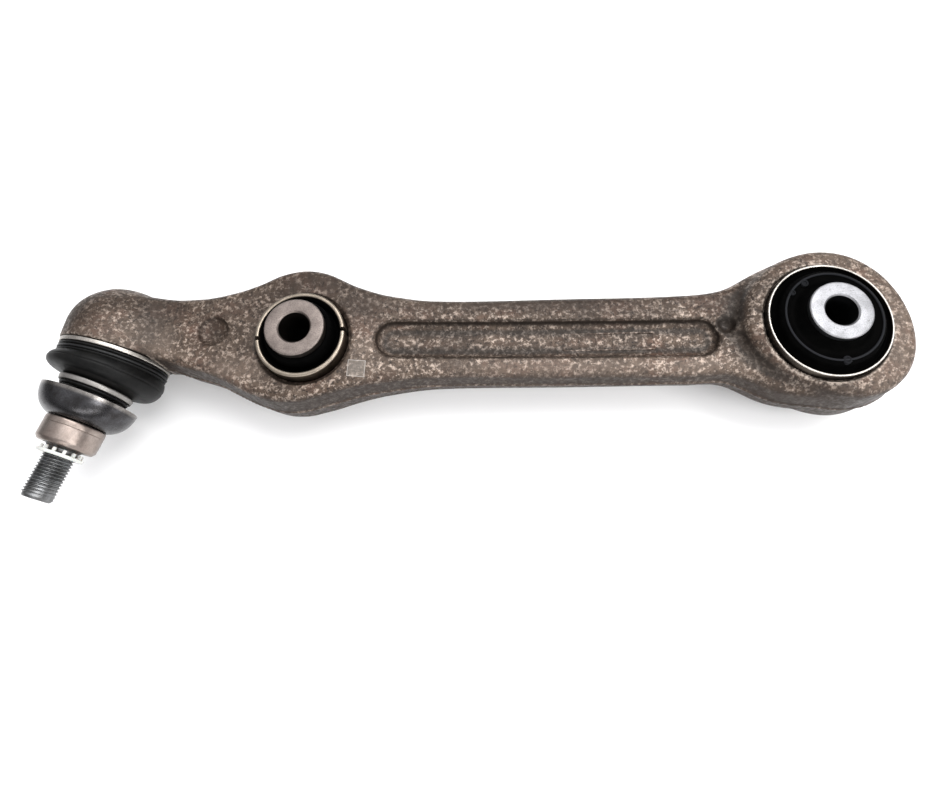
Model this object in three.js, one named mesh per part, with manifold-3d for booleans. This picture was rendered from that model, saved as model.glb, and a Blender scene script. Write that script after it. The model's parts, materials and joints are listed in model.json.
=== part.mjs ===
// Front lower control arm of a car: a forged aluminium arm with a large rubber bush at the
// inner end, a smaller damper-fork bush part way along and a ball joint at the outer end.
// Millimetres. The arm lies flat: +Z is up along both bush axes, +X runs from the ball joint
// to the large bush. While it is built, the large bush axis is the origin and z = 0 is the
// forging's parting plane; the last lines stand the arm on z = 0 with its footprint centred.
import * as THREE from 'three';
import { mergeVertices } from 'three/addons/utils/BufferGeometryUtils.js';
import Module from 'manifold-3d';

const wasm = await Module();
wasm.setup();

// ---------- driving dimensions ----------
const GAP = 0.3;                      // air between touching pieces
const AROUND = 30;                    // facets round a turned piece

// large bush, bolted to the subframe
const LARGE = {
  bore: 7.05, sleeve: 13.5, sleeveHalf: 31, rubberTop: 28,
  shellInner: 26.3, shellOuter: 27.4, shellHalf: 21.5,
};
// damper bush, bolted to the fork of the spring strut
const DAMPER = {
  x: -241.8, bore: 7.25, sleeve: 13.8, sleeveHalf: 29.4, rubberTop: 26,
  shellInner: 19, shellOuter: 21.2, shellHalf: 21.5, splitGap: 2.2, splitTurn: 5,
};
// forging
const BOSS = { radius: 37.5, landHalf: 18.5, fillet: 4.5, draft: 1 };
// how far the large boss departs from a circle: the cosine and sine parts of 1, 2 and 3 waves
const BOSS_WAVES = [[3.0, 1.6], [1.1, -1.6], [-1.3, -0.3]];
const RIM = { fillet: 4, draft: 1.2 };
const POCKET = { left: -208, right: -45.4, halfWidth: 9.4, depth: 4.5, draft: 1.4 };
const POCKET_CENTRE = { y: -0.3, yRight: -2.4 };
const DIMPLE = { x: -286.4, y: 5.5, radius: 8.8, depth: 3.6 };
const SPOT_FACE = { radius: 23.75, depth: 2.2 };
// ball joint: heights run from the ball centre along the stud, towards its thread. The socket
// has an axis of its own, in the parting plane, and the stud rests 5.6 degrees off it.
const BALL_CENTRE = new THREE.Vector3(-339.5, 8.7, 0);
const STUD_AXIS = new THREE.Vector3(-0.3, -0.952, 0.06).normalize();
const SOCKET_AXIS = new THREE.Vector3(-0.227, -0.974, 0).normalize();
const BALL_RADIUS = 14;
const PRESSURE_RING = 1;
const SOCKET = {
  radius: 26.2, domeHeight: 25.2, cavity: 17.2, foot: 25.9, footAt: 9,
  counterbore: 20.6, counterboreAt: 3.9,
};
const CLOSING = {
  flange: 25.5, flangeFrom: 9.4, flangeTo: 11.3, neck: 19.6, neckTo: 14.5, mouth: 16.6, lipAt: 7.4,
};
const BOOT = {
  collar: 25.2, groove: 24.2, wall: 2, bulge: 5.5, bulgeAt: 20, bulgeRing: 20.8, foot: 27.1,
  bendFrom: 13.5, bendTo: 26.5,
};
const STUD = {
  shaft: 8.7, neck: 7.1, neckTo: 15, shaftFrom: 22, shaftTo: 59.3,
  thread: 7, threadFrom: 60.6, threadTo: 84.3, end: 85.3,
};
const FOOT_RING = { from: 27.5, to: 30.1, top: 17.1, bottom: 16.7 };
const LIP = { from: 30.4, to: 32.2, radius: 15.8 };
const DISH = { rim: 22, rimAt: 34.1, hub: 13.4, hubAt: 46.9, sheet: 1.2 };
const COLLAR = { from: 47.2, to: 59.6, radius: 13.5, chamfer: 1.4 };
const RETAINER = { from: 60.9, to: 64.2, radius: 10.2, inner: 7.35 };

// ---------- finishes ----------
const finish = (color, roughness, metalness) =>
  new THREE.MeshStandardMaterial({ color, roughness, metalness });
const forged = () => finish(0x6e625a, 0.6, 0.85);
const machined = () => finish(0xb9b9bb, 0.35, 0.9);
const zinc = () => finish(0x9a948c, 0.4, 0.9);
const rubber = () => finish(0x141414, 0.7, 0);
const whitePlastic = () => finish(0xdedbd2, 0.5, 0);

// ---------- solids ----------
// A closed three.js geometry as a manifold solid, and back.
function toSolid(geometry) {
  const bare = geometry.clone();
  bare.deleteAttribute('normal');
  bare.deleteAttribute('uv');
  const merged = mergeVertices(bare);
  return new wasm.Manifold(new wasm.Mesh({
    numProp: 3,
    vertProperties: new Float32Array(merged.attributes.position.array),
    triVerts: new Uint32Array(merged.index.array),
  }));
}

function toGeometry(solid) {
  const mesh = solid.getMesh();
  const geometry = new THREE.BufferGeometry();
  geometry.setAttribute('position', new THREE.BufferAttribute(new Float32Array(mesh.vertProperties), 3));
  geometry.setIndex(new THREE.BufferAttribute(new Uint32Array(mesh.triVerts), 1));
  geometry.computeVertexNormals();
  return geometry;
}

// Points of an arc in a profile, angles in degrees from the radius direction.
function arc(radius, height, r, from, to, pieces) {
  const points = [];
  for (let i = 0; i <= pieces; i += 1) {
    const angle = THREE.MathUtils.degToRad(from + (to - from) * i / pieces);
    points.push([radius + r * Math.cos(angle), height + r * Math.sin(angle)]);
  }
  return points;
}

// A piece turned about Z from a profile of [radius, height] points. A profile that starts on
// the axis also ends on it, and any other profile is closed into a ring.
function turned(profile, around = AROUND) {
  const points = profile.map(([r, h]) => new THREE.Vector2(r < 1e-6 ? 0 : r, h));
  if (THREE.ShapeUtils.area(points) < 0) points.reverse();
  if (points[0].x > 0) points.push(points[0].clone());
  return new THREE.LatheGeometry(points, around).rotateX(Math.PI / 2);
}

const ring = (inner, outer, low, high) =>
  turned([[inner, low], [outer, low], [outer, high], [inner, high]]);

// ---------- scene ----------
const arm = new THREE.Group();

// A group whose origin is the ball centre and whose Z is the given axis.
function groupAlong(axis) {
  const group = new THREE.Group();
  group.position.copy(BALL_CENTRE);
  group.quaternion.setFromUnitVectors(new THREE.Vector3(0, 0, 1), axis);
  group.updateMatrixWorld(true);
  arm.add(group);
  return group;
}
const ballJoint = groupAlong(STUD_AXIS);
const socket = groupAlong(SOCKET_AXIS);

function add(group, name, geometry, material, x = 0) {
  const mesh = new THREE.Mesh(geometry, material);
  mesh.name = name;
  mesh.position.x = x;
  group.add(mesh);
}

// ---------- forging ----------
// The beam's upper and lower edges at the parting plane and its half thickness, as [x, value]
// knots from the ball joint to the large boss.
const UPPER_EDGE = [
  [-332, 24], [-318, 26], [-303, 25.1], [-286, 26.2], [-268, 31], [-255, 36.7],
  [-243, 38.5], [-232, 36.4], [-217, 29.2], [-203, 25], [-180, 21.8], [-120, 21.6],
  [-60, 21.8], [-42, 23.5], [-26, 30.6], [-16, 33.8], [-4, 35.5], [8, 35],
];
const LOWER_EDGE = [
  [-332, -3], [-318, -6], [-303, -11.9], [-286, -17.4], [-268, -26.5], [-256, -31],
  [-245, -31.8], [-233, -29.2], [-217, -24.8], [-203, -22.4], [-180, -20.2], [-120, -21.1],
  [-60, -21.8], [-42, -22.2], [-26, -30.1], [-16, -33], [-4, -33.5], [8, -33],
];
const HALF_THICKNESS = [
  [-332, 15.5], [-300, 15], [-262, 16], [-222, 16], [-203, 13.8], [-160, 11.8],
  [-100, 10.6], [-60, 10.2], [-26, 12], [8, 12],
];

// Smooth value between knots, by cubic pieces with the neighbours' slope.
function smoothAt(knots, x) {
  const last = knots.length - 2;
  let i = 0;
  while (i < last && x > knots[i + 1][0]) i += 1;
  const slope = (k) => {
    const a = knots[Math.max(k - 1, 0)];
    const b = knots[Math.min(k + 1, last + 1)];
    return (b[1] - a[1]) / (b[0] - a[0]);
  };
  const [x0, y0] = knots[i];
  const [x1, y1] = knots[i + 1];
  const span = x1 - x0;
  const t = (x - x0) / span;
  const rise = t * t * (3 - 2 * t);
  const easeOut = t * (1 - t) * (1 - t) * span;
  const easeIn = t * t * (1 - t) * span;
  return y0 + (y1 - y0) * rise + slope(i) * easeOut - slope(i + 1) * easeIn;
}

// A rounded section swept along X, then stretched so that its sides follow the two edges and
// its faces follow the half thickness. Its corners keep their fillet.
function beam() {
  const half = { width: 20, thickness: 10 };
  const top = half.thickness - RIM.fillet;
  const side = half.width - RIM.draft - RIM.fillet;
  const quarter = [[half.width, 0], ...arc(side, top, RIM.fillet, 0, 90, 3)];
  const upper = [...quarter, ...quarter.slice(1).reverse().map(([y, z]) => [-y, z])];
  const lower = upper.map(([y, z]) => [-y, -z]);
  const outline = new THREE.Shape([...upper, ...lower].map(([y, z]) => new THREE.Vector2(y, z)));
  const [from, to] = [UPPER_EDGE[0][0], UPPER_EDGE.at(-1)[0]];
  const geometry = new THREE.ExtrudeGeometry(outline, { depth: to - from, steps: 38, bevelEnabled: false });
  const position = geometry.attributes.position;
  for (let i = 0; i < position.count; i += 1) {
    const x = from + position.getZ(i);
    const [y, z] = [position.getX(i), position.getY(i)];
    const edge = smoothAt(y > 0 ? UPPER_EDGE : LOWER_EDGE, x);
    const face = smoothAt(HALF_THICKNESS, x) - half.thickness;
    position.setXYZ(i, x, edge + y - Math.sign(y) * half.width, z + Math.sign(z) * face);
  }
  return geometry;
}

function largeBoss() {
  const { radius, landHalf, fillet, draft } = BOSS;
  const corner = arc(radius - draft - fillet, landHalf - fillet, fillet, 0, 90, 3);
  const under = corner.map(([r, h]) => [r, -h]).reverse();
  const geometry = turned([[0, -landHalf], ...under, [radius, 0], ...corner, [0, landHalf]], 40);
  const position = geometry.attributes.position;
  for (let i = 0; i < position.count; i += 1) {
    const [x, y] = [position.getX(i), position.getY(i)];
    const away = Math.hypot(x, y);
    const angle = Math.atan2(y, x);
    const wave = (sum, [cosine, sine], k) =>
      sum + cosine * Math.cos((k + 1) * angle) + sine * Math.sin((k + 1) * angle);
    const stretch = away > 1 ? 1 + BOSS_WAVES.reduce(wave, 0) / away : 1;
    position.setXY(i, x * stretch, y * stretch);
  }
  return geometry;
}

function socketHousing() {
  const { radius, domeHeight, foot, footAt } = SOCKET;
  const dome = arc(0, 0, 1, -90, 0, 7).map(([r, h]) => [r * radius, h * domeHeight]);
  return turned([...dome, [foot, footAt], [0, footAt]], 36).applyMatrix4(socket.matrix);
}

// Room for the ball, its seat and the closing ring, and below the housing's foot for the
// flange and the boot.
function socketCavity() {
  const { cavity, counterbore, counterboreAt, footAt } = SOCKET;
  const clear = CLOSING.flange + 2;
  const profile = [
    ...arc(0, 0, cavity, -90, 0, 6),
    [cavity, counterboreAt], [counterbore, counterboreAt], [counterbore, footAt],
    [clear, footAt], [clear, footAt + 40], [0, footAt + 40],
  ];
  return turned(profile).applyMatrix4(socket.matrix);
}

// A long pocket in the beam's face, a slot with sloping walls. side is 1 for the top face
// and -1 for the bottom face.
function pocket(side) {
  const { left, right, halfWidth, depth, draft } = POCKET;
  const reach = (right - left) / 2 - halfWidth;
  const slot = new THREE.Shape();
  slot.absarc(reach, 0, halfWidth, -Math.PI / 2, Math.PI / 2, false);
  slot.absarc(-reach, 0, halfWidth, Math.PI / 2, 3 * Math.PI / 2, false);
  const height = 16;
  const geometry = new THREE.ExtrudeGeometry(slot, {
    depth: height, bevelEnabled: true, bevelThickness: depth, bevelSize: draft,
    bevelOffset: -draft, bevelSegments: 1, curveSegments: 8,
  });
  geometry.translate(0, 0, depth);
  const position = geometry.attributes.position;
  const tilt = (POCKET_CENTRE.yRight - POCKET_CENTRE.y) / (right - left);
  for (let i = 0; i < position.count; i += 1) {
    const x = (left + right) / 2 + position.getX(i);
    const floor = smoothAt(HALF_THICKNESS, x) - depth;
    const centre = POCKET_CENTRE.y + tilt * (x - left);
    position.setXYZ(i, x, position.getY(i) + side * centre, floor + position.getZ(i));
  }
  return side > 0 ? geometry : geometry.rotateX(Math.PI);
}

// A shallow round dimple in the neck between the ball joint and the damper bush.
function dimple(side) {
  const { x, y, radius, depth } = DIMPLE;
  const sphere = (radius * radius + depth * depth) / (2 * depth);
  const face = smoothAt(HALF_THICKNESS, x);
  return new THREE.SphereGeometry(sphere, 24, 12).rotateX(Math.PI / 2)
    .translate(x, y, side * (face - depth + sphere));
}

// A bush bore with a chamfered or spot-faced mouth at each end.
function bore(radius, mouth, mouthDepth, half) {
  const reach = half + 10;
  return turned([
    [0, -reach], [mouth, -reach], [mouth, -half], [radius, mouthDepth - half],
    [radius, half - mouthDepth], [mouth, half], [mouth, reach], [0, reach],
  ], 36);
}

function forging() {
  const damperFace = smoothAt(HALF_THICKNESS, DAMPER.x);
  const cuts = [
    pocket(1), pocket(-1), dimple(1), dimple(-1), socketCavity(),
    bore(LARGE.shellOuter + GAP, LARGE.shellOuter + 1.1, 1, BOSS.landHalf),
    bore(DAMPER.shellOuter + GAP, SPOT_FACE.radius, SPOT_FACE.depth, damperFace).translate(DAMPER.x, 0, 0),
  ];
  const blank = toSolid(beam()).add(toSolid(largeBoss())).add(toSolid(socketHousing()));
  return toGeometry(cuts.reduce((solid, cut) => solid.subtract(toSolid(cut)), blank));
}

add(arm, 'arm_forging', forging(), forged());

// ---------- large bush ----------
function largeBush() {
  const { bore: hole, sleeve, sleeveHalf, rubberTop, shellInner, shellOuter, shellHalf } = LARGE;
  const chamfer = 0.8;
  add(arm, 'large_bush_outer_shell', ring(shellInner, shellOuter, -shellHalf, shellHalf), machined());
  add(arm, 'large_bush_inner_sleeve', turned([
    [hole, -sleeveHalf], [sleeve - chamfer, -sleeveHalf], [sleeve, chamfer - sleeveHalf],
    [sleeve, sleeveHalf - chamfer], [sleeve - chamfer, sleeveHalf], [hole, sleeveHalf],
  ]), machined());
  // The rubber is low beside the shell and climbs a cone to the inner sleeve.
  const half = [
    [shellInner - GAP, shellHalf - 4], [shellInner - 4.5, shellHalf - 3],
    [sleeve + 2, rubberTop - 1.2], [sleeve + GAP, rubberTop],
  ];
  const under = half.map(([r, h]) => [r, -h]).reverse();
  add(arm, 'large_bush_rubber', turned([...half, ...under]), rubber());
}
largeBush();

// ---------- damper bush ----------
function damperBush() {
  const { x, bore: hole, sleeve, sleeveHalf, rubberTop, shellInner, shellOuter, shellHalf } = DAMPER;
  const chamfer = 0.8;
  add(arm, 'damper_bush_inner_sleeve', turned([
    [hole, -sleeveHalf], [sleeve - chamfer, -sleeveHalf], [sleeve, chamfer - sleeveHalf],
    [sleeve, sleeveHalf - chamfer], [sleeve - chamfer, sleeveHalf], [hole, sleeveHalf],
  ]), zinc(), x);
  const half = [
    [shellInner - GAP, shellHalf - 2], [shellInner - 2.2, shellHalf - 3],
    [sleeve + 1.6, rubberTop - 1], [sleeve + GAP, rubberTop],
  ];
  const under = half.map(([r, h]) => [r, -h]).reverse();
  add(arm, 'damper_bush_rubber', turned([...half, ...under]), rubber(), x);
  // The outer shell is split into two halves, with a slit at each side of the arm.
  const lip = 0.6;
  const slit = DAMPER.splitGap / 2 / shellOuter;
  for (const [name, start] of [['upper', 0], ['lower', Math.PI]]) {
    const from = start + slit + THREE.MathUtils.degToRad(DAMPER.splitTurn);
    const to = from + Math.PI - 2 * slit;
    const half = new THREE.Shape();
    half.absarc(0, 0, shellOuter - lip, from, to, false);
    half.absarc(0, 0, shellInner + lip, to, from, true);
    const shell = new THREE.ExtrudeGeometry(half, {
      depth: 2 * (shellHalf - lip), curveSegments: 14, bevelEnabled: true,
      bevelThickness: lip, bevelSize: lip, bevelSegments: 1,
    }).translate(0, 0, lip - shellHalf);
    add(arm, `damper_bush_outer_shell_${name}`, shell, zinc(), x);
  }
}
damperBush();

// ---------- ball joint ----------
// The seat, its rings, the boot and its clamp stay with the forging; the rest swings.
function ballSocket() {
  const seatInner = BALL_RADIUS + GAP;
  const seatOuter = SOCKET.cavity - GAP;
  const ringFoot = SOCKET.counterboreAt;
  const seatFoot = ringFoot - PRESSURE_RING - GAP;
  const wrap = THREE.MathUtils.radToDeg(Math.asin(seatFoot / seatInner));
  add(socket, 'ball_seat', turned([
    ...arc(0, 0, seatOuter, -90, 0, 6), [seatOuter, seatFoot],
    ...arc(0, 0, seatInner, wrap, -90, 8),
  ]), whitePlastic());
  add(socket, 'seat_pressure_ring', ring(seatInner, seatOuter, ringFoot - PRESSURE_RING, ringFoot), machined());

  const { flange, flangeFrom, flangeTo, neck, neckTo, mouth, lipAt } = CLOSING;
  const ringTop = SOCKET.counterboreAt + GAP;
  const ringOuter = SOCKET.counterbore - GAP;
  const capRadius = BALL_RADIUS + 0.4;
  const degreesAt = (height) => THREE.MathUtils.radToDeg(Math.asin(height / capRadius));
  add(socket, 'socket_closing_ring', turned([
    [ringOuter, ringTop], [ringOuter, flangeFrom], [flange, flangeFrom], [flange, flangeTo],
    [neck, flangeTo], [neck, neckTo], [mouth, neckTo],
    ...arc(0, 0, capRadius, degreesAt(lipAt), degreesAt(ringTop), 3),
  ]), machined());

  add(ballJoint, 'ball', new THREE.SphereGeometry(BALL_RADIUS, 20, 12), machined());
}
ballSocket();

// Turns the boot's collar onto the socket's axis and leaves its foot on the stud's. Each point
// keeps its distance from the ball centre.
function bendToSocket(geometry) {
  const across = ballJoint.quaternion.clone().invert();
  const axis = SOCKET_AXIS.clone().applyQuaternion(across);
  const whole = new THREE.Quaternion().setFromUnitVectors(new THREE.Vector3(0, 0, 1), axis);
  const position = geometry.attributes.position;
  const point = new THREE.Vector3();
  for (let i = 0; i < position.count; i += 1) {
    point.fromBufferAttribute(position, i);
    const share = 1 - THREE.MathUtils.smoothstep(point.z, BOOT.bendFrom, BOOT.bendTo);
    point.applyQuaternion(new THREE.Quaternion().slerp(whole, share));
    position.setXYZ(i, point.x, point.y, point.z);
  }
  return geometry;
}

function boot() {
  const { collar, groove, wall, bulge, bulgeAt, bulgeRing, foot } = BOOT;
  const from = CLOSING.flangeTo + 0.45;
  const inside = CLOSING.neck + GAP;
  const shaft = STUD.shaft + 0.6;
  add(ballJoint, 'boot', bendToSocket(turned([
    [collar, from], [collar, from + 1.2], [groove, from + 1.4], [groove, from + 2.9],
    [collar, from + 3.1],
    ...arc(bulgeRing, bulgeAt, bulge, -45, 80, 7),
    [FOOT_RING.top - 1.5, foot], [shaft, foot], [shaft, foot - wall],
    ...arc(bulgeRing, bulgeAt, bulge - wall, 100, -60, 6),
    [inside, from + 4.6], [inside, from],
  ])), rubber());
  const clamp = ring(groove + GAP, collar + 0.3, from + 1.6, from + 2.7);
  add(socket, 'boot_clamp_ring', clamp, machined());
  add(ballJoint, 'boot_foot_ring', turned([
    [shaft, FOOT_RING.from], [FOOT_RING.top, FOOT_RING.from],
    [FOOT_RING.bottom, FOOT_RING.to], [shaft, FOOT_RING.to],
  ]), zinc());
  add(ballJoint, 'boot_seal_lip', turned([
    [shaft, LIP.from], [LIP.radius, LIP.from], [LIP.radius - 1, LIP.to], [shaft, LIP.to],
  ]), rubber());
}
boot();

function stud() {
  const { shaft, neck, neckTo, shaftFrom, shaftTo, thread, threadFrom, threadTo, end } = STUD;
  const cup = BALL_RADIUS + GAP;
  const neckAngle = THREE.MathUtils.radToDeg(Math.acos(neck / cup));
  const fit = shaft + GAP;
  add(ballJoint, 'ball_stud', turned([
    ...arc(0, 0, cup, 90, neckAngle, 3),
    [neck, neckTo], [shaft, shaftFrom], [shaft, shaftTo], [thread, threadFrom],
    [thread, threadTo], [thread - 1, end], [0, end],
  ]), zinc());

  // A bowl of sheet metal: flat hub, then a rounded wall out to the rim.
  const { rim, rimAt, hub, hubAt, sheet } = DISH;
  const wallCurve = new THREE.QuadraticBezierCurve(
    new THREE.Vector2(hub, hubAt), new THREE.Vector2(rim - 1, hubAt - 2.5), new THREE.Vector2(rim, rimAt),
  );
  const outside = wallCurve.getPoints(6).map((p) => [p.x, p.y]);
  const inside = outside.slice(0, -1).reverse().map(([r, h]) => [r - sheet * 0.8, h - sheet]);
  add(ballJoint, 'deflector_dish', turned([
    [fit, hubAt], ...outside, [rim - sheet, rimAt], ...inside, [fit, hubAt - sheet],
  ]), machined());

  const { from, to, radius, chamfer } = COLLAR;
  add(ballJoint, 'stud_collar', turned([
    [fit, from], [radius, from], [radius, to - chamfer], [radius - chamfer, to], [fit, to],
  ]), zinc());
  add(ballJoint, 'thread_retainer', ring(RETAINER.inner, RETAINER.radius, RETAINER.from, RETAINER.to),
    whitePlastic());
}
stud();

// ---------- stand the arm on the ground, with its footprint centred on the origin ----------
arm.updateMatrixWorld(true);
const bounds = new THREE.Box3().setFromObject(arm, true);
const centre = bounds.getCenter(new THREE.Vector3());
arm.position.set(-centre.x, -centre.y, -bounds.min.z);

export default arm;
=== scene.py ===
import json
import math

import bmesh
import bpy
import numpy as np
from mathutils import Matrix, Vector


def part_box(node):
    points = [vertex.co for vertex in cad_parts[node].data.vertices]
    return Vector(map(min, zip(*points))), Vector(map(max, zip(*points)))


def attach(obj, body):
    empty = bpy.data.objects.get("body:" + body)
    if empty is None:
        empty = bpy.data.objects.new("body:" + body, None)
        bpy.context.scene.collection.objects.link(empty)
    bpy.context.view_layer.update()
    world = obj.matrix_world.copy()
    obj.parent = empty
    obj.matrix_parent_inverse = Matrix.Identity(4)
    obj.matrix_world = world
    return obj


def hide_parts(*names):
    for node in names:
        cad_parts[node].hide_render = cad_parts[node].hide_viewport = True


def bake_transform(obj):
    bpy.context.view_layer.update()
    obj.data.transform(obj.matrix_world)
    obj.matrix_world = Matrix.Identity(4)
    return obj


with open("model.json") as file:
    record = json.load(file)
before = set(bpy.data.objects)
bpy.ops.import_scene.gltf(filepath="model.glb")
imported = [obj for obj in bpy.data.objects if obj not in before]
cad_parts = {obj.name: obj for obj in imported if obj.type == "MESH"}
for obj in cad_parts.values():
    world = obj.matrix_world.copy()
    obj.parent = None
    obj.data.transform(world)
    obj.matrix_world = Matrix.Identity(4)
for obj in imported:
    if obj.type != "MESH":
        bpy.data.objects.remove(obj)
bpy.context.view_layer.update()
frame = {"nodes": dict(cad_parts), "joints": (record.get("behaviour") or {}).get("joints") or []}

MM = 0.001


def middle(node):
    low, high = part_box(node)
    return (low + high) / 2


LARGE_AXIS = middle("large_bush_inner_sleeve")
DAMPER_AXIS = middle("damper_bush_inner_sleeve")
JOINTS = {j["name"]: j for j in frame["joints"]}
BALL_CENTRE = Vector(JOINTS["stud_spin"]["pos_m"])
STUD_AXIS = Vector(JOINTS["stud_spin"]["axis"]).normalized()
SOCKET_AXIS = Vector((-0.227, -0.974, 0)).normalized()

# ---------------------------------------------------------------- camera
# Its place from the middle of the large bush in mm, its turn in degrees and its lens in mm.
CAMERA_FROM_LARGE_BUSH = (-151.42, -112.81, 276.85)
CAMERA_TURN = (17.63, 2.66, -0.55)
LENS, SENSOR = 23.15, 36.0


def make_camera():
    data = bpy.data.cameras.new("camera")
    data.sensor_width = SENSOR
    data.lens = LENS
    data.clip_start = 0.01
    camera = bpy.data.objects.new("camera", data)
    camera.location = LARGE_AXIS + Vector(CAMERA_FROM_LARGE_BUSH) * MM
    camera.rotation_euler = [math.radians(a) for a in CAMERA_TURN]
    bpy.context.scene.collection.objects.link(camera)
    bpy.context.scene.camera = camera


make_camera()


# A blank etched square beside the damper bush: centre, half its side, line width, turn.
ETCHED_SQUARE = (
    LARGE_AXIS.x - 215.7 * MM, LARGE_AXIS.y - 15.6 * MM, 4.1 * MM, 0.35 * MM, math.radians(-3),
)


# ---------------------------------------------------------------- material helpers
class Nodes:
    """Short names for building a node tree."""

    def __init__(self, name):
        self.material = bpy.data.materials.new(name)
        self.material.use_nodes = True
        self.tree = self.material.node_tree
        self.shader = self.tree.nodes["Principled BSDF"]
        self.place = self.tree.nodes.new("ShaderNodeTexCoord").outputs["Object"]

    def link(self, a, b):
        self.tree.links.new(a, b)

    def node(self, kind, **settings):
        made = self.tree.nodes.new("ShaderNode" + kind)
        for key, value in settings.items():
            setattr(made, key, value)
        return made

    def noise(self, size_mm, detail=4.0, roughness=0.6, stretch=(1, 1, 1), distortion=0.0):
        """Noise whose grain is about size_mm across, as a value from 0 to 1."""
        mapping = self.node("Mapping")
        mapping.inputs["Scale"].default_value = stretch
        self.link(self.place, mapping.inputs["Vector"])
        made = self.node("TexNoise")
        made.inputs["Scale"].default_value = 1 / (size_mm * MM)
        made.inputs["Detail"].default_value = detail
        made.inputs["Roughness"].default_value = roughness
        made.inputs["Distortion"].default_value = distortion
        self.link(mapping.outputs["Vector"], made.inputs["Vector"])
        return made.outputs["Fac"]

    def ramp(self, value, *stops):
        """Colour or grey from (position, colour) stops."""
        made = self.node("ValToRGB")
        elements = made.color_ramp.elements
        while len(elements) < len(stops):
            elements.new(0.5)
        for element, (position, colour) in zip(elements, stops):
            element.position = position
            grey = isinstance(colour, (int, float))
            element.color = (colour, colour, colour, 1) if grey else (*colour, 1)
        self.link(value, made.inputs["Fac"])
        return made.outputs["Color"]

    def mix(self, factor, a, b, blend="MIX"):
        made = self.node("Mix", data_type="RGBA", blend_type=blend)
        for socket, value in ((made.inputs[0], factor), (made.inputs[6], a), (made.inputs[7], b)):
            if isinstance(value, bpy.types.NodeSocket):
                self.link(value, socket)
            elif isinstance(value, tuple):
                socket.default_value = (*value, 1)
            else:
                socket.default_value = value
        return made.outputs[2]

    def math(self, operation, a, b=0.0):
        made = self.node("Math", operation=operation)
        for socket, value in zip(made.inputs, (a, b)):
            if isinstance(value, bpy.types.NodeSocket):
                self.link(value, socket)
            else:
                socket.default_value = value
        return made.outputs[0]

    def attribute(self, name):
        return self.node("Attribute", attribute_name=name).outputs["Fac"]

    def square(self, x, y, half, line, turn):
        """Masks of a square's drawn border and of its inside, on the upper face. Metres."""
        mapping = self.node("Mapping", vector_type="TEXTURE")
        mapping.inputs["Location"].default_value = (x, y, 0)
        mapping.inputs["Rotation"].default_value = (0, 0, turn)
        self.link(self.place, mapping.inputs["Vector"])
        parts = self.node("SeparateXYZ")
        self.link(mapping.outputs["Vector"], parts.inputs[0])
        from_x, from_y = (self.math("ABSOLUTE", parts.outputs[i]) for i in (0, 1))
        far = self.math("MAXIMUM", from_x, from_y)
        upper = self.math("GREATER_THAN", parts.outputs[2], LARGE_AXIS.z)
        whole = self.math("MULTIPLY", self.math("LESS_THAN", far, half), upper)
        inside = self.math("MULTIPLY", self.math("LESS_THAN", far, half - line), upper)
        return self.math("SUBTRACT", whole, inside), inside

    def bump(self, *layers):
        """Stacked bumps from (height, strength, depth in mm)."""
        normal = None
        for height, strength, depth in layers:
            made = self.node("Bump")
            made.inputs["Strength"].default_value = strength
            made.inputs["Distance"].default_value = depth * MM
            self.link(height, made.inputs["Height"])
            if normal:
                self.link(normal, made.inputs["Normal"])
            normal = made.outputs["Normal"]
        self.link(normal, self.shader.inputs["Normal"])

    def set(self, **values):
        names = {
            "colour": "Base Color", "roughness": "Roughness", "metal": "Metallic",
            "specular": "Specular IOR Level", "glow": "Subsurface Weight",
        }
        for key, value in values.items():
            socket = self.shader.inputs[names[key]]
            if isinstance(value, bpy.types.NodeSocket):
                self.link(value, socket)
            else:
                socket.default_value = (*value, 1) if isinstance(value, tuple) else value


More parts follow.
